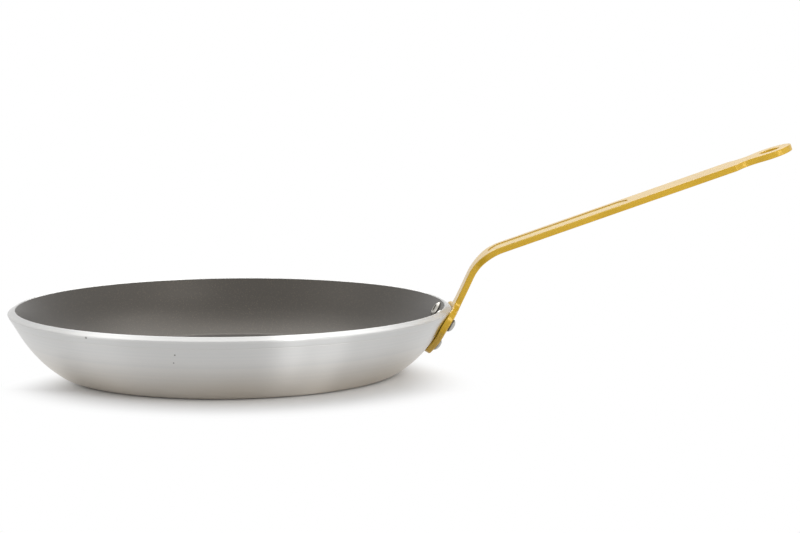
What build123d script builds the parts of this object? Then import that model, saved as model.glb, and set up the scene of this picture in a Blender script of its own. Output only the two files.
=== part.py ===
"""Omelette pan: a thick pressed aluminium pan with a non-stick lining and a riveted strip steel handle.

The frame is the pan's own. The origin is the centre of the flat base, +Z is up,
and the handle leaves along +X. All lengths are in millimetres, all angles in degrees.
"""
from build123d import *
from math import asin, cos, degrees, radians, sin, sqrt, tan
import os

# Pan: outside sizes of the pressed body
rim_radius = 140.3
rim_height = 39.2
wall_angle = 59.7
upper_wall_length = 14.0
wall_sweep_radius = 78.0
knee_radius = 12.0
body_thickness = 5.2
rim_rounding = 0.8

# Non-stick lining, laid on the whole inside up to the rim
lining_thickness = 0.2

# Handle strip and its side profile: up from the wall in a steep neck, then out along a long grip
strip_thickness = 4.0
strip_edge_rounding = 0.7
seat_gap = 0.1
neck_angle = 65.8
neck_bend_height = 37.8
neck_bend_radius = 24.0
grip_angle = 19.4
grip_bend_height = 71.4
grip_bend_radius = 32.0
grip_length = 207.1

# Handle outline, low end: the spade that is riveted to the wall, its shoulders and the neck
rivet_spread = 18.5
upper_rivet_drop = 7.5
lower_rivet_drop = 24.6
spade_upper_radius = 9.5
spade_lower_radius = 10.5
spade_length = 32.8
shoulder_radius = 5.5
neck_width = 20.0
fade_margin_share = 0.1

# Handle outline, high end: the grip, its waist, its round end and the hanging hole
grip_width = 30.0
widening_below_bend = 10.0
widening_above_bend = 9.0
waist_width = 21.2
waist_notch_radius = 12.0
waist_corner_rounding = 3.0
grip_end_radius = 14.8
hanging_hole_radius = 6.2
hanging_hole_margin = 13.8

# Bare sunk panel on top of the grip
panel_start = 5.0
panel_length = 94.0
panel_width = 17.0
panel_depth = 0.5

# Solid aluminium rivets
shank_radius = 2.6
outer_head_radius = 4.3
outer_head_height = 2.5
outer_head_crown = 1.3
inner_head_radius = 5.4
inner_head_height = 1.9
inner_head_crown = 1.5

# Every cutter and every blank reaches this much past what it cuts
overrun = 6.0

# Two faces that meet at more than this angle have a corner between them
corner_angle = 30.0


def slope_direction(angle):
    """Unit vector up a slope in the XZ plane."""
    return Vector(cos(radians(angle)), 0, sin(radians(angle)))


def slope_normal(angle):
    """Unit vector square to that slope, out of the pan and down."""
    return Vector(sin(radians(angle)), 0, -cos(radians(angle)))


# The wall's outer line, from which the lining, the spade and the rivets take their places
rim_corner = Vector(rim_radius, 0, rim_height)
straight_foot = rim_corner - slope_direction(wall_angle) * upper_wall_length
sweep_centre = straight_foot - slope_normal(wall_angle) * wall_sweep_radius
knee_reach = sqrt((wall_sweep_radius - knee_radius) ** 2 - (sweep_centre.Z - knee_radius) ** 2)
knee_centre = Vector(sweep_centre.X + knee_reach, 0, knee_radius)
knee_slope = degrees(asin(knee_reach / (wall_sweep_radius - knee_radius)))


def side_arc(centre, radius, low_slope, high_slope):
    """Arc in the XZ plane that climbs from low_slope to high_slope about a centre on the pan's side."""
    slopes = (low_slope, (low_slope + high_slope) / 2, high_slope)
    return ThreePointArc(*[centre + slope_normal(slope) * radius for slope in slopes])


def wall_line(depth, rim_drop=0):
    """Line of the pan's section at a depth inside its outer surface, from the middle to rim_drop below the rim."""
    foot = straight_foot - slope_normal(wall_angle) * depth
    top = rim_corner - slope_normal(wall_angle) * depth - slope_direction(wall_angle) * rim_drop
    return [
        Line(Vector(0, 0, depth), Vector(knee_centre.X, 0, depth)),
        side_arc(knee_centre, knee_radius - depth, 0, knee_slope),
        side_arc(sweep_centre, wall_sweep_radius - depth, knee_slope, wall_angle),
        Line(foot, top),
    ]


def wall_layer(outer_depth, inner_depth, rim_drop=0):
    """Section of one layer of the pan, between two depths."""
    outside = wall_line(outer_depth, rim_drop)
    inside = wall_line(inner_depth, rim_drop)
    middle_edge = Line(outside[0] @ 0, inside[0] @ 0)
    rim_edge = Line(outside[-1] @ 1, inside[-1] @ 1)
    return make_face([*outside, rim_edge, *inside, middle_edge])


def pan_body():
    """Pressed body: thick flat base, swept wall, straight upper wall and a rounded rim."""
    section = wall_layer(0, body_thickness)
    rim_corners = section.vertices().sort_by(Axis.Z)[-2:]
    return revolve(fillet(rim_corners, rim_rounding), Axis.Z)


def nonstick_lining():
    """Non-stick layer on the whole inside, up to where the rim's rounding starts."""
    section = wall_layer(body_thickness, body_thickness + lining_thickness, rim_rounding)
    return revolve(section, Axis.Z)


def wall_place(drop, turn=0.0):
    """Plane on the wall's outer surface, square to it: drop below the rim along the wall, turned about Z."""
    if drop <= upper_wall_length:
        slope = wall_angle
        point = rim_corner - slope_direction(wall_angle) * drop
    else:
        slope = wall_angle - degrees((drop - upper_wall_length) / wall_sweep_radius)
        point = sweep_centre + slope_normal(slope) * wall_sweep_radius
    flat = Plane(origin=point, x_dir=(0, 1, 0), z_dir=slope_normal(slope))
    return Plane(Rotation(0, 0, turn) * flat.location)


def rivet_places():
    """Planes of the three rivets: two side by side below the rim and one in the spade's narrow end."""
    upper_radius = wall_place(upper_rivet_drop).origin.X
    spread_angle = degrees(asin(rivet_spread / upper_radius))
    return {
        "rivet_upper_left": wall_place(upper_rivet_drop, spread_angle),
        "rivet_upper_right": wall_place(upper_rivet_drop, -spread_angle),
        "rivet_lower": wall_place(lower_rivet_drop),
    }


# The strip's outer face turns at these two corners before the bends round them off
neck_half_turn = radians(neck_angle - wall_angle) / 2
grip_half_turn = radians(neck_angle - grip_angle) / 2
neck_rise_on_wall = (neck_bend_height - straight_foot.Z) / sin(radians(wall_angle))
neck_corner_on_wall = straight_foot + slope_direction(wall_angle) * neck_rise_on_wall
neck_stand_off = seat_gap + strip_thickness
neck_corner = (neck_corner_on_wall + slope_normal(wall_angle) * neck_stand_off
               + slope_direction(wall_angle) * neck_stand_off * tan(neck_half_turn))
neck_rise = (grip_bend_height - neck_corner.Z) / sin(radians(neck_angle))
grip_corner = neck_corner + slope_direction(neck_angle) * neck_rise

# On the straight neck between its two bends, the strip fades from curved round the wall to flat across.
# The shares of its curve follow a smooth step, so both ends of the fade run on without a kink.
neck_start = neck_bend_height + neck_bend_radius * tan(neck_half_turn) * sin(radians(neck_angle))
neck_end = grip_bend_height - grip_bend_radius * tan(grip_half_turn) * sin(radians(neck_angle))
fade_start = neck_start + (neck_end - neck_start) * fade_margin_share
fade_end = neck_end - (neck_end - neck_start) * fade_margin_share
fade_curve_shares = (1, 20 / 27, 7 / 27, 0)


def strip_line(depth):
    """Side line of the strip at a depth inside its outer face, from past the spade to past the grip's end.

    The strip hugs the wall down to the lower rivet. Its foot runs straight on from there.
    """
    gap = seat_gap + strip_thickness - depth
    foot_slope = wall_angle - degrees((lower_rivet_drop - upper_wall_length) / wall_sweep_radius)
    foot_top = sweep_centre + slope_normal(foot_slope) * (wall_sweep_radius + gap)
    foot_end = foot_top - slope_direction(foot_slope) * (spade_length + overrun - lower_rivet_drop)
    bend_top = straight_foot + slope_normal(wall_angle) * gap
    first_corner = (neck_corner - slope_normal(wall_angle) * depth
                    - slope_direction(wall_angle) * depth * tan(neck_half_turn))
    second_corner = (grip_corner - slope_normal(neck_angle) * depth
                     + slope_direction(neck_angle) * depth * tan(grip_half_turn))
    end = (grip_corner + slope_direction(grip_angle) * (grip_length + overrun)
           - slope_normal(grip_angle) * depth)
    bends = FilletPolyline(
        bend_top, first_corner, second_corner, end,
        radius=[neck_bend_radius + gap, grip_bend_radius + depth],
    )
    hug = side_arc(sweep_centre, wall_sweep_radius + gap, foot_slope, wall_angle)
    return [Line(foot_end, foot_top), hug, *bends.edges()]


def strip_section(low_depth, high_depth):
    """Side section of the strip between two depths below its outer face."""
    low_line = strip_line(low_depth)
    high_line = strip_line(high_depth)
    tip_edge = Line(low_line[0] @ 0, high_line[0] @ 0)
    end_edge = Line(low_line[-1] @ 1, high_line[-1] @ 1)
    return make_face([*low_line, *high_line, tip_edge, end_edge])


def height_band(low, high):
    """Rectangle in the XZ plane between two heights, wide enough to hold the whole handle."""
    reach = rim_radius + grip_length + neck_rise
    corner_points = [(0, 0, low), (reach, 0, low), (reach, 0, high), (0, 0, high)]
    return make_face(Polyline(*corner_points, close=True))


def neck_level(height, curve_share):
    """Level cut through the steep neck: curved round the pan for a share of 1, flat across for 0."""
    half_spade = rivet_spread + spade_upper_radius + overrun
    outer = neck_corner.X + (height - neck_corner.Z) / tan(radians(neck_angle))
    cut_thickness = strip_thickness / sin(radians(neck_angle))
    if curve_share == 0:
        return Pos(outer - cut_thickness / 2, 0, height) * Rectangle(cut_thickness, 2 * half_spade)
    radius = outer / curve_share
    half_angle = degrees(asin(half_spade / radius))
    centre = Pos(outer - radius, 0, height)
    sides = (half_angle, 0, -half_angle)
    arcs = [[Vector(reach, 0, 0).rotate(Axis.Z, side) for side in sides]
            for reach in (radius - cut_thickness, radius)]
    ends = [Line(arcs[0][k], arcs[1][k]) for k in (0, -1)]
    return centre * make_face([ThreePointArc(*arcs[0]), ThreePointArc(*arcs[1]), *ends])


def low_blank():
    """Low end of the bent strip before its outline is cut: curved round the wall, then fading to flat."""
    half_spade = rivet_spread + spade_upper_radius + overrun
    half_angle = degrees(asin(half_spade / rim_radius))
    band = strip_section(0, strip_thickness) & height_band(0, fade_start)
    curved = Rotation(0, 0, -half_angle) * revolve(band, Axis.Z, 2 * half_angle)
    rise = (fade_end - fade_start) / (len(fade_curve_shares) - 1)
    levels = [neck_level(fade_start + k * rise, share) for k, share in enumerate(fade_curve_shares)]
    fading = loft(levels)
    return curved, fading


def high_blank():
    """High end of the bent strip before its outline is cut, flat across from the neck to the tip."""
    band = strip_section(0, strip_thickness) & height_band(fade_end, grip_corner.Z + grip_length)
    return extrude(band, grip_width, both=True)


def spade_outline():
    """Outline of the spade round its three rivets, with two hollow shoulders that lead into the neck."""
    plane = Plane(origin=rim_corner, x_dir=(0, 1, 0), z_dir=slope_normal(wall_angle))
    upper = [plane.to_local_coords(rivet_places()[name].origin) for name in
             ("rivet_upper_left", "rivet_upper_right")]
    ears = [Pos(spot.X, spot.Y) * Circle(spade_upper_radius) for spot in upper]
    point = Pos(0, spade_lower_radius - spade_length) * Circle(spade_lower_radius)
    hull = make_hull([circle.edge() for circle in (*ears, point)])
    neck_top = (fade_end - rim_height) / sin(radians(wall_angle)) + overrun
    neck = Rectangle(neck_width, neck_top - upper[0].Y, align=(Align.CENTER, Align.MIN))
    neck = Pos(0, upper[0].Y) * neck
    outline = hull + neck
    shoulder_height = upper[0].Y + spade_upper_radius
    shoulders = [(side * neck_width / 2, shoulder_height) for side in (-1, 1)]
    corners = [outline.vertices().sort_by_distance(shoulder)[0] for shoulder in shoulders]
    return plane * fillet(corners, shoulder_radius)


def grip_outline():
    """Outline from the neck to the tip: widening, parallel grip, waist, round end and hanging hole."""
    low = -widening_below_bend
    high = widening_above_bend
    middle = (low + high) / 2
    neck_low = low - (grip_bend_height - fade_end)
    end_centre = grip_length - grip_end_radius
    notch_offset = waist_width / 2 + waist_notch_radius
    touch_distance = waist_notch_radius + grip_end_radius
    notch_centre = end_centre - sqrt(touch_distance ** 2 - notch_offset ** 2)
    touch = end_centre - (end_centre - notch_centre) * grip_end_radius / touch_distance

    sides = []
    for half_neck, half_grip in ((neck_width / 2, grip_width / 2), (-neck_width / 2, -grip_width / 2)):
        sides.append(Line((neck_low, half_neck), (low, half_neck)))
        sides.append(Bezier((low, half_neck), (middle, half_neck), (middle, half_grip), (high, half_grip)))
        sides.append(Line((high, half_grip), (touch, half_grip)))
    neck_end = Line((neck_low, neck_width / 2), (neck_low, -neck_width / 2))
    touch_end = Line((touch, grip_width / 2), (touch, -grip_width / 2))
    outline = Sketch() + make_face([*sides, neck_end, touch_end])

    for side in (-1, 1):
        outline -= Pos(notch_centre, side * notch_offset) * Circle(waist_notch_radius)
    outline += Pos(end_centre, 0) * Circle(grip_end_radius)
    corner_back = sqrt(waist_notch_radius ** 2 - (notch_offset - grip_width / 2) ** 2)
    spots = [(notch_centre - corner_back, side * grip_width / 2) for side in (-1, 1)]
    corners = [outline.vertices().sort_by_distance(spot)[0] for spot in spots]
    outline = fillet(corners, waist_corner_rounding)
    return outline - Pos(grip_length - hanging_hole_margin, 0) * Circle(hanging_hole_radius)


def grip_plane():
    """Plane on the grip's underside, x along the grip from the bend's corner and z out of its top."""
    return Plane(origin=grip_corner, x_dir=slope_direction(grip_angle), z_dir=-slope_normal(grip_angle))


def sunk_panel():
    """Cutter of the bare sunk panel: a round ended slice of the strip's top skin."""
    skin = extrude(strip_section(strip_thickness - panel_depth, strip_thickness), panel_width, both=True)
    place = Pos(panel_start + panel_length / 2, 0) * SlotOverall(panel_length, panel_width)
    return skin & extrude(grip_plane() * place, grip_bend_height, both=True)


def sharp_edges(solid):
    """Edges where two faces meet at a real corner, without the seams between smooth faces."""
    faces = solid.faces()
    sharp = []
    for edge in solid.edges():
        one, *others = [face for face in faces if edge in face.edges()]
        middle = edge @ 0.5
        if others and one.normal_at(middle).get_angle(others[0].normal_at(middle)) > corner_angle:
            sharp.append(edge)
    return sharp


def plain_handle():
    """Strip steel handle before drilling: spade, neck, bend and grip, with its edges rounded all round."""
    spade = extrude(spade_outline(), grip_width, both=True)
    grip = extrude(grip_plane() * grip_outline(), grip_bend_height, both=True)
    curved, fading = low_blank()
    blank = (curved & spade) + (fading & spade) + (high_blank() & grip)
    return fillet(sharp_edges(blank), strip_edge_rounding) - sunk_panel()


def button(radius, height, crown):
    """Rivet head that stands on the XY plane, with a round side below a domed crown."""
    dome_radius = (radius ** 2 + crown ** 2) / (2 * crown)
    stub = Cylinder(radius, height, align=(Align.CENTER, Align.CENTER, Align.MIN))
    return stub & Pos(0, 0, height - dome_radius) * Sphere(dome_radius)


def shank():
    """Rivet shank through lining, wall and handle, in a rivet's own plane, ending inside both heads."""
    low = -(body_thickness + lining_thickness + inner_head_height / 2)
    length = seat_gap + strip_thickness + outer_head_height / 2 - low
    return Pos(0, 0, low) * Cylinder(shank_radius, length, align=(Align.CENTER, Align.CENTER, Align.MIN))


def rivet(place, inside_layers):
    """Rivet at its place: a flat seated head on the handle and a wider one that was upset on the curved inside."""
    outer = Pos(0, 0, seat_gap + strip_thickness) * button(outer_head_radius, outer_head_height, outer_head_crown)
    seat = Pos(0, 0, -(body_thickness + lining_thickness)) * Rotation(180, 0, 0)
    inner = place * seat * button(inner_head_radius, inner_head_height, inner_head_crown)
    for layer in inside_layers:
        inner -= layer
    return inner + place * (outer + shank())


def build():
    """All pieces of the pan, by name: the three drilled layers and the three rivets through them."""
    layers = {
        "pan_body": pan_body(),
        "nonstick_lining": nonstick_lining(),
        "handle": plain_handle(),
    }
    places = rivet_places()
    inside_layers = [layers["nonstick_lining"], layers["pan_body"]]
    pieces = {name: rivet(place, inside_layers) for name, place in places.items()}
    shanks = [place * shank() for place in places.values()]
    for name, layer in layers.items():
        pieces[name] = layer - shanks
    return pieces


os.makedirs("parts", exist_ok=True)
for name, piece in build().items():
    export_step(piece, f"parts/{name}.step")
    box = piece.bounding_box()
    print(f"{name}: {len(piece.solids())} solid, {piece.volume:.0f} mm3, valid {piece.is_valid}, "
          f"x {box.min.X:.2f} to {box.max.X:.2f}, y {box.min.Y:.2f} to {box.max.Y:.2f}, "
          f"z {box.min.Z:.2f} to {box.max.Z:.2f}")
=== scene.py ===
"""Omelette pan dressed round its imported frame: turned aluminium, speckled non-stick and a gold coated handle.

Lengths are in metres in the pan's own frame: origin under the middle of the base, +Z up,
handle along +X. The camera stands where the photograph was taken from.
"""
import math

import bpy
from mathutils import Matrix, Vector


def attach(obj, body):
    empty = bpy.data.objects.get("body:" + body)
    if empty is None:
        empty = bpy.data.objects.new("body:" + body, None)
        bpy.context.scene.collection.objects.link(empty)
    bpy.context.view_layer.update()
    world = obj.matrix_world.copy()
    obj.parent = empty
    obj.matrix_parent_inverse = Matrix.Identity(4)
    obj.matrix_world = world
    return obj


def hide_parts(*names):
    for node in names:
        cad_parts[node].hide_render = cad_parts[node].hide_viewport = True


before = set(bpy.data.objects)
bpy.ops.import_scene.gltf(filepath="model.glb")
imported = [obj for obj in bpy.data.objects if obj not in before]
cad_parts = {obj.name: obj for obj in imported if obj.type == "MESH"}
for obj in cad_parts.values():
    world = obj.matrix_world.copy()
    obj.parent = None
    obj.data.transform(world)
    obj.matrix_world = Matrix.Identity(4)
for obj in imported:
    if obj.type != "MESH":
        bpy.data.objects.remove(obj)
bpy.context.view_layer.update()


# The pressed body: one piece of thick aluminium sheet, drawn to a pan in a die and turned on a lathe.
# The lathe leaves fine rings, and a narrow proud band under the rim that ends in a thin groove.
# Use has left three small nicks in the wall. Low down the wall is painted darker and warmer, a painted
# reflection of the shaded floor. The section's lines stop 24 mm short of the axis, so the middle of
# the base is open, outside and in.

class Socket:
    """A node's output that takes part in plain Python arithmetic and makes the Math nodes for it."""

    def __init__(self, finish, output):
        self.finish = finish
        self.output = output

    def math(self, operation, *values):
        return self.finish.node("ShaderNodeMath", {"operation": operation}, dict(enumerate(values)))

    def __add__(self, other):
        return self.math("ADD", self, other)

    def __radd__(self, other):
        return self.math("ADD", other, self)

    def __sub__(self, other):
        return self.math("SUBTRACT", self, other)

    def __rsub__(self, other):
        return self.math("SUBTRACT", other, self)

    def __mul__(self, other):
        return self.math("MULTIPLY", self, other)

    def __rmul__(self, other):
        return self.math("MULTIPLY", other, self)

    def __pow__(self, other):
        return self.math("POWER", self, other)

    def __rpow__(self, other):
        return self.math("POWER", other, self)

    def at_most(self, other):
        return self.math("MINIMUM", self, other)

    def at_least(self, other):
        return self.math("MAXIMUM", self, other)

    def band(self, low, high):
        """0 below low, 1 above high and a smooth rise between."""
        steps = {"Value": self, "From Min": low, "From Max": high}
        return self.finish.node("ShaderNodeMapRange", {"interpolation_type": "SMOOTHSTEP"}, steps)


class Finish:
    """The node tree of one material, or of the world, with a method that makes any node."""

    def __init__(self, owner):
        self.owner = owner
        owner.use_nodes = True
        self.tree = owner.node_tree

    def node(self, kind, settings=None, inputs=None, output=0):
        """A node: its settings, its inputs by name or number, and the output that is wanted."""
        made = self.tree.nodes.new(kind)
        for name, value in (settings or {}).items():
            setattr(made, name, value)
        for name, value in (inputs or {}).items():
            self.join(value, [socket for socket in made.inputs if socket.enabled], name)
        outputs = [socket for socket in made.outputs if socket.enabled]
        found = outputs[output] if isinstance(output, int) else made.outputs[output]
        return Socket(self, found)

    def join(self, value, sockets, name):
        """Links a Socket to the input of that name or number, or writes a fixed value on it."""
        found = sockets[name] if isinstance(name, int) else next(s for s in sockets if s.name == name)
        if isinstance(value, Socket):
            self.tree.links.new(value.output, found)
        else:
            found.default_value = value

    def coordinates(self):
        """Place on the piece in metres: the vector and its x, y and z."""
        where = self.node("ShaderNodeTexCoord", output="Object")
        split = [self.node("ShaderNodeSeparateXYZ", inputs={0: where}, output=k) for k in range(3)]
        return where, *split

    def noise(self, where, scale, detail, roughness):
        """Cloudy grey pattern between 0 and 1."""
        values = {"Vector": where, "Scale": scale, "Detail": detail, "Roughness": roughness}
        return self.node("ShaderNodeTexNoise", inputs=values)

    def mix(self, factor, first, second):
        """Colour between two colours."""
        values = {"Factor": factor, "A": first, "B": second}
        return self.node("ShaderNodeMix", {"data_type": "RGBA"}, values)

    def bump(self, height, distance, strength):
        """Normal that makes a height between 0 and 1 look as deep as the distance."""
        values = {"Height": height, "Distance": distance, "Strength": strength}
        return self.node("ShaderNodeBump", inputs=values)

    def principled(self, **values):
        """Feeds and fixed numbers of the material's own Principled shader."""
        shader = self.tree.nodes["Principled BSDF"]
        for name, value in values.items():
            self.join(value, list(shader.inputs), name.replace("_", " "))
        return self.owner


def material(name):
    """Empty material to be built up node by node."""
    return Finish(bpy.data.materials.new(name))


def screen(red, green, blue):
    """Linear colour from the 0 to 255 numbers of a screen colour."""
    parts = [part / 255 for part in (red, green, blue)]
    linear = [p / 12.92 if p <= 0.04045 else ((p + 0.055) / 1.055) ** 2.4 for p in parts]
    return (*linear, 1.0)


wall_slope = math.radians(59.7)
upper_wall_length = 0.014
sweep_radius = 0.078
sweep_centre = Vector((0.065892, 0.066466))
knee_radius = 0.012
knee_centre = Vector((0.103168, knee_radius))
knee_slope = math.asin((knee_centre.x - sweep_centre.x) / (sweep_radius - knee_radius))
sweep_end = upper_wall_length + sweep_radius * (wall_slope - knee_slope)
knee_end = sweep_end + knee_radius * knee_slope


def wall_point(along, depth):
    """Radius and height on the pan's section: along is measured from the rim's corner down the
    outside and in to the middle of the base, depth is how far it lies inside the outer surface."""
    if along <= upper_wall_length:
        out = Vector((math.sin(wall_slope), -math.cos(wall_slope)))
        up_wall = Vector((math.cos(wall_slope), math.sin(wall_slope)))
        return sweep_centre + out * (sweep_radius - depth) + up_wall * (upper_wall_length - along)
    if along <= sweep_end:
        turned = wall_slope - (along - upper_wall_length) / sweep_radius
        return sweep_centre + Vector((math.sin(turned), -math.cos(turned))) * (sweep_radius - depth)
    if along <= knee_end:
        turned = knee_slope - (along - sweep_end) / knee_radius
        return knee_centre + Vector((math.sin(turned), -math.cos(turned))) * (knee_radius - depth)
    return Vector((max(knee_centre.x - (along - knee_end), 0.0), depth))


def lathe(name, profile, sides, place=Matrix()):
    """Smooth turned piece: a profile of radius and height swung round its axis, closed at radius 0."""
    points = []
    faces = []
    rows = []
    for radius, height in profile:
        count = 1 if radius < 1e-6 else sides
        rows.append((len(points), count))
        for k in range(count):
            turn = math.tau * k / sides
            points.append(place @ Vector((radius * math.cos(turn), radius * math.sin(turn), height)))
    for (low, low_count), (high, high_count) in zip(rows, rows[1:]):
        for k in range(sides):
            after = (k + 1) % sides
            corners = [low + k % low_count, low + after % low_count,
                       high + after % high_count, high + k % high_count]
            faces.append(list(dict.fromkeys(corners)))
    mesh = bpy.data.meshes.new(name)
    mesh.from_pydata(points, [], faces)
    mesh.shade_smooth()
    piece = bpy.data.objects.new(name, mesh)
    bpy.context.scene.collection.objects.link(piece)
    return piece


sheet_thickness = 0.0052
rim_rounding = 0.0008
outer_line_length = 0.1345
inner_line_length = 0.1338
band_foot = 0.0056
turned_depth = 0.00012
turned_from, turned_to = 0.036, 0.030
groove = ((0.0054, 0.00013), (0.0052, 0.0003), (0.0050, 0.00008), (0.0047, 0.0), (0.0036, 0.0), (0.0022, 0.0))
wall_steps = 140
corner_turns = [math.radians(90 * k / 8) for k in range(9)]
turned_profile = []
for k in range(wall_steps + 1):
    along = outer_line_length * (1 - k / wall_steps) + band_foot * (k / wall_steps)
    share = min(1.0, max(0.0, (turned_from - along) / (turned_from - turned_to)))
    turned_profile.append(wall_point(along, turned_depth * share))
turned_profile += [wall_point(along, depth) for along, depth in groove]
for turn in corner_turns:
    along, depth = rim_rounding * (1 - math.sin(turn)), rim_rounding * (1 - math.cos(turn))
    turned_profile.append(wall_point(along, depth))
for k in range(1, 6):
    turned_profile.append(wall_point(0.0, rim_rounding + (sheet_thickness - 2 * rim_rounding) * k / 6))
for turn in corner_turns:
    along, inset = rim_rounding * (1 - math.cos(turn)), rim_rounding * (1 - math.sin(turn))
    turned_profile.append(wall_point(along, sheet_thickness - inset))
for k in range(1, wall_steps + 1):
    along = rim_rounding + inner_line_length * k / wall_steps
    turned_profile.append(wall_point(along, sheet_thickness))
turned_body = lathe("turned_body", turned_profile, 300)
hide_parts("pan_body")
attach(turned_body, "root")

turned = material("turned_aluminium")
where, x, y, z = turned.coordinates()
radius = (x * x + y * y) ** 0.5
ring_place = turned.node("ShaderNodeCombineXYZ", inputs={0: radius * 1000.0, 1: z * 1000.0})
fine_rings = turned.noise(ring_place, 5.0, 3.0, 0.7)
broad_rings = turned.noise(ring_place, 0.45, 2.0, 0.6)
cloud = turned.noise(where, 16.0, 3.0, 0.5)
# Painted reflection and shade: the wall's colour turns darker and warmer towards the bottom, standing in for
# the shaded floor it reflects.
painted_floor_reflection = 1.0 - z.band(0.002, 0.030)
plain_metal_colour = turned.mix(broad_rings.band(0.3, 0.7), screen(212, 212, 211), screen(217, 216, 214))
metal_colour = turned.mix(painted_floor_reflection * (0.5 + cloud * 0.5), plain_metal_colour, screen(194, 185, 172))
on_front = 1.0 - y.band(-0.02, 0.0)
nicks = 0.0
for nick_x, nick_z, size in ((-0.0728, 0.0385, 0.0009), (-0.0203, 0.0308, 0.0007), (-0.0214, 0.0258, 0.0006)):
    away = ((x - nick_x) ** 2 + (z - nick_z) ** 2) ** 0.5
    nicks = nicks + (1.0 - away.band(size * 0.4, size)) * on_front
turned_metal = turned.principled(
    Base_Color=turned.mix(nicks * 0.7, metal_colour, screen(92, 88, 84)),
    Metallic=1.0,
    Roughness=0.38 + fine_rings * 0.08 + cloud * 0.05,
    Anisotropic=1.0,
    Anisotropic_Rotation=0.25,
    Normal=turned.bump(fine_rings + broad_rings * 0.12 - nicks * 3.0, 0.00002, 0.7),
)
turned_body.data.materials.append(turned_metal)


# The non-stick coating: a dark film sprayed on the whole inside and baked, with fine tan grains
# in it. It ends at the rim, which the lathe cut bare after coating, and the flat cooking floor
# is duller than the walls.

coating = material("speckled_nonstick")
where, x, y, z = coating.coordinates()
grain = coating.noise(where, 2600.0, 1.0, 0.5)
drift = coating.noise(where, 24.0, 2.0, 0.5)
nearest = coating.node("ShaderNodeTexVoronoi", inputs={"Vector": where, "Scale": 1500.0})
picked = coating.node("ShaderNodeTexVoronoi", inputs={"Vector": where, "Scale": 1500.0}, output="Color")
chance = coating.node("ShaderNodeSeparateXYZ", inputs={0: picked})
speck = (1.0 - nearest.band(0.10, 0.30)) * chance.band(0.45, 0.55)
dark_film = coating.mix((grain * 0.6 + drift * 0.4).band(0.35, 0.65), screen(9, 8, 7), screen(13, 11, 9))
cooking_floor = 1.0 - z.band(0.0054, 0.0064)
nonstick = coating.principled(
    Base_Color=coating.mix(speck * 0.34, dark_film, screen(166, 146, 116)),
    Roughness=0.35 + drift * 0.06 + cooking_floor * 0.12,
    IOR=1.78,
    Specular_Tint=screen(255, 246, 234),
    Normal=coating.bump(grain + speck * 0.5, 0.00002, 0.5),
)
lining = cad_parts["nonstick_lining"]
lining.data.materials.clear()
lining.data.materials.append(nonstick)


# The handle: one strip of steel, blanked, bent and coated in smooth satin gold, with a long sunk
# panel pressed into the grip, whose floor is painted a paler gold as a painted sheen. Three rivets
# hold its spade on the wall.

gold = material("gold_coating")
where, x, y, z = gold.coordinates()
grip_x, grip_z = 0.1591, 0.0714
run, rise = 0.943, 0.332
along_grip = (x - grip_x) * run + (z - grip_z) * rise
above_grip = (z - grip_z) * run - (x - grip_x) * rise
beside_panel_ends = along_grip.band(0.004, 0.006) * (1.0 - along_grip.band(0.098, 0.100))
on_panel_floor = (1.0 - above_grip.band(0.0036, 0.0039)) * above_grip.band(0.0033, 0.0034)
# Painted sheen: the panel's floor is painted a paler gold than the rest of the coating.
panel_painted_sheen = beside_panel_ends * on_panel_floor
peel = gold.noise(where, 380.0, 2.0, 0.5)
tone = gold.noise(where, 30.0, 2.0, 0.5)
coat_colour = gold.mix(tone.band(0.3, 0.7), screen(194, 155, 40), screen(201, 162, 47))
gold_coat = gold.principled(
    Base_Color=gold.mix(panel_painted_sheen, coat_colour, screen(207, 175, 76)),
    Metallic=0.1,
    Roughness=0.22 + peel * 0.03,
    IOR=1.36,
    Normal=gold.bump(peel, 0.00001, 0.15),
)
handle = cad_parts["handle"]
handle.data.materials.clear()
handle.data.materials.append(gold_coat)


# The rivets: solid aluminium. The factory head sits on the handle with a low crown, and the wider
# head inside was upset by the press, which left a shallow dish in its middle. The dish and the
# heads' sides are painted dark, a painted shade.

def rivet_matrix(along, side):
    """Place on the wall's outer surface, z out of the pan, at a distance beside the handle's line."""
    point = wall_point(along, 0.0)
    out = (point - wall_point(along, 0.001)).normalized()
    turn = math.asin(side / point.x)
    stand = Matrix.Rotation(math.pi / 2 - math.atan2(out.y, out.x), 4, "Y")
    return Matrix.Rotation(turn, 4, "Z") @ Matrix.Translation((point.x, 0.0, point.y)) @ stand


outer_seat = 0.0041
inner_seat = -0.0055
factory_head = [(radius, outer_seat + height) for radius, height in (
    (0.0, 0.0025), (0.0011, 0.00246), (0.0021, 0.00225), (0.0030, 0.00185), (0.0036, 0.0014),
    (0.00405, 0.00085), (0.00425, 0.0004), (0.00428, 0.00012), (0.00415, 0.0), (0.0, 0.0))]
upset_head = [(radius, inner_seat - height) for radius, height in (
    (0.0, -0.0008), (0.0036, -0.0008), (0.0050, -0.0005), (0.00535, 0.0001), (0.0052, 0.0006),
    (0.0047, 0.00115), (0.0039, 0.0016), (0.0032, 0.00183), (0.0028, 0.00186), (0.0024, 0.0017),
    (0.0018, 0.0011), (0.0, 0.0008))]
rivet_spread, upper_drop, lower_drop = 0.0185, 0.0075, 0.0246
rivet_heads = []
for name, along, side in (("rivet_upper_left", upper_drop, rivet_spread),
                          ("rivet_upper_right", upper_drop, -rivet_spread),
                          ("rivet_lower", lower_drop, 0.0)):
    matrix = rivet_matrix(along, side)
    axis = matrix.to_3x3() @ Vector((0.0, 0.0, 1.0))
    for end, profile in (("factory_head", factory_head), ("upset_head", upset_head)):
        head = lathe(f"{name}_{end}", profile, 64, matrix)
        head.data.set_sharp_from_angle(angle=math.radians(50))
        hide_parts(name)
        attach(head, "root")
        rivet_heads.append((head, matrix.to_translation(), axis))

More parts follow.
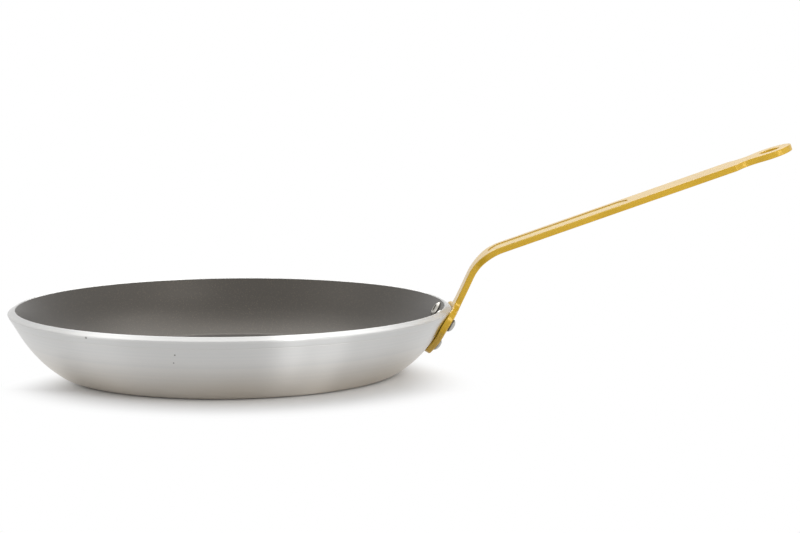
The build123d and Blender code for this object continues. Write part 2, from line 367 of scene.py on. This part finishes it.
bright = material("rivet_aluminium")
where, x, y, z = bright.coordinates()
scuff = bright.noise(where, 700.0, 3.0, 0.6)
rivet_metal = bright.principled(
    Base_Color=bright.mix(scuff, screen(156, 153, 146), screen(190, 187, 180)),
    Metallic=1.0,
    Roughness=0.2 + scuff * 0.2,
    Normal=bright.bump(scuff, 0.00002, 0.4),
)
# Painted shade: a darker copy of the rivet metal for the heads' sides and the upset dish.
painted_shade_finish = material("rivet_aluminium_painted_shade")
where, x, y, z = painted_shade_finish.coordinates()
painted_shade_mottle = painted_shade_finish.noise(where, 500.0, 3.0, 0.6)
painted_shade_metal = painted_shade_finish.principled(
    Base_Color=painted_shade_finish.mix(painted_shade_mottle, screen(70, 66, 60), screen(104, 100, 92)),
    Metallic=1.0,
    Roughness=0.34 + painted_shade_mottle * 0.2,
    Normal=painted_shade_finish.bump(painted_shade_mottle, 0.00002, 0.4),
)
dish_radius = 0.0022
for head, axis_point, axis in rivet_heads:
    head.data.materials.append(rivet_metal)
    head.data.materials.append(painted_shade_metal)
    for face in head.data.polygons:
        reach = face.center - axis_point
        in_dish = "upset" in head.name and (reach - axis * reach.dot(axis)).length < dish_radius
        on_side = abs(face.normal.dot(axis)) < 0.6
        # Faces in the dish and on the heads' sides get the painted shade.
        face.material_index = 1 if in_dish or on_side else 0


# The studio: a white sheet to stand on, white all round, and six soft lights: overhead, behind,
# left, and three on the right, of which the narrow one in front draws the bright streak down the
# wall. The sheet keeps the pan's shadow close to it. Beyond a ring round the pan, a painted white glow
# seen by the camera and in reflections fades the shadow out to plain white, sooner at the sides and
# behind, as in the photograph, so from behind the shadow is faint.

floor_reach = 6.0
sheet = bpy.data.meshes.new("white_sheet")
corners = [(-floor_reach, -floor_reach, 0), (floor_reach, -floor_reach, 0),
           (floor_reach, floor_reach, 0), (-floor_reach, floor_reach, 0)]
sheet.from_pydata(corners, [], [(0, 1, 2, 3)])
floor = bpy.data.objects.new("white_sheet", sheet)
bpy.context.scene.collection.objects.link(floor)
paper = material("white_paper")
where, x, y, z = paper.coordinates()
back_of_shadow = (y + 0.075).at_least(0.0) * (1.0 - y.band(0.0, 0.16))
distance = ((x - 0.010) ** 2 + y * y) ** 0.5 + back_of_shadow * (0.75 - x.band(-0.08, 0.10) * 0.25)
paper_white = paper.principled(Base_Color=(0.91, 0.91, 0.91, 1.0), Roughness=1.0, Specular_IOR_Level=0.0)
seen = paper.node("ShaderNodeLightPath", output="Is Camera Ray")
mirrored = paper.node("ShaderNodeLightPath", output="Is Glossy Ray")
# Painted glow: the sheet glows plain white for camera and mirrored rays beyond a ring round the pan, painting
# out the shadow's outer part.
painted_white_glow = distance.band(0.118, 0.168) * (seen + mirrored)
glow = paper.node("ShaderNodeEmission", inputs={"Color": (1.0, 1.0, 1.0, 1.0), "Strength": 1.0})
lit = Socket(paper, paper.tree.nodes["Principled BSDF"].outputs[0])
surface = paper.node("ShaderNodeMixShader", inputs={0: painted_white_glow, 1: lit, 2: glow})
paper.join(surface, list(paper.tree.nodes["Material Output"].inputs), "Surface")
floor.data.materials.append(paper_white)

world = bpy.data.worlds.new("white_studio")
bpy.context.scene.world = world
air = Finish(world)
shown = (air.node("ShaderNodeLightPath", output="Is Camera Ray")
         + air.node("ShaderNodeLightPath", output="Is Glossy Ray")
         + air.node("ShaderNodeLightPath", output="Is Transmission Ray")).at_most(1.0)
dim = air.node("ShaderNodeBackground", inputs={"Color": (1.0, 1.0, 1.0, 1.0), "Strength": 0.58})
white = air.node("ShaderNodeBackground", inputs={"Color": (1.0, 1.0, 1.0, 1.0), "Strength": 1.0})
sky = air.node("ShaderNodeMixShader", inputs={0: shown, 1: dim, 2: white})
air.join(sky, list(air.tree.nodes["World Output"].inputs), "Surface")


def softbox(name, place, aim, width, height, watts):
    """Rectangular soft light at a place, turned to face a point."""
    lamp = bpy.data.lights.new(name, "AREA")
    lamp.shape = "RECTANGLE"
    lamp.size = width
    lamp.size_y = height
    lamp.energy = watts
    box = bpy.data.objects.new(name, lamp)
    box.location = place
    box.rotation_euler = (Vector(aim) - Vector(place)).to_track_quat("-Z", "Y").to_euler()
    bpy.context.scene.collection.objects.link(box)


softbox("overhead", (0.05, 0.45, 1.35), (0.0, 0.0, 0.0), 1.8, 0.9, 7.0)
softbox("back_wall_light", (-0.1, 1.45, 1.25), (0.0, 0.0, 0.0), 1.5, 1.0, 14.0)
softbox("right_front", (0.82, -1.05, 0.85), (0.05, 0.0, 0.05), 0.34, 0.7, 4.9)
softbox("left_side", (-1.2, -0.5, 0.6), (0.0, 0.0, 0.05), 0.8, 1.0, 2.0)
softbox("right_side", (1.3, -0.25, 0.5), (0.0, 0.0, 0.0), 0.7, 0.8, 1.0)
softbox("right_fill", (1.35, -0.95, 0.2), (0.1, 0.0, 0.04), 0.5, 0.35, 2.6)


# The camera: a long lens over a metre away, at the photograph's height, a little above the rim.

lens = bpy.data.cameras.new("photo_camera")
lens.sensor_width = 36.0
lens.sensor_fit = "HORIZONTAL"
lens.lens = 82.83
lens.clip_end = 50.0
camera = bpy.data.objects.new("photo_camera", lens)
camera.location = (0.10711, -1.16188, 0.20226)
camera.rotation_euler = (math.radians(90.0 - 6.7067), 0.0, 0.0)
bpy.context.scene.collection.objects.link(camera)
bpy.context.scene.camera = camera
bpy.context.scene.view_settings.view_transform = "Standard"
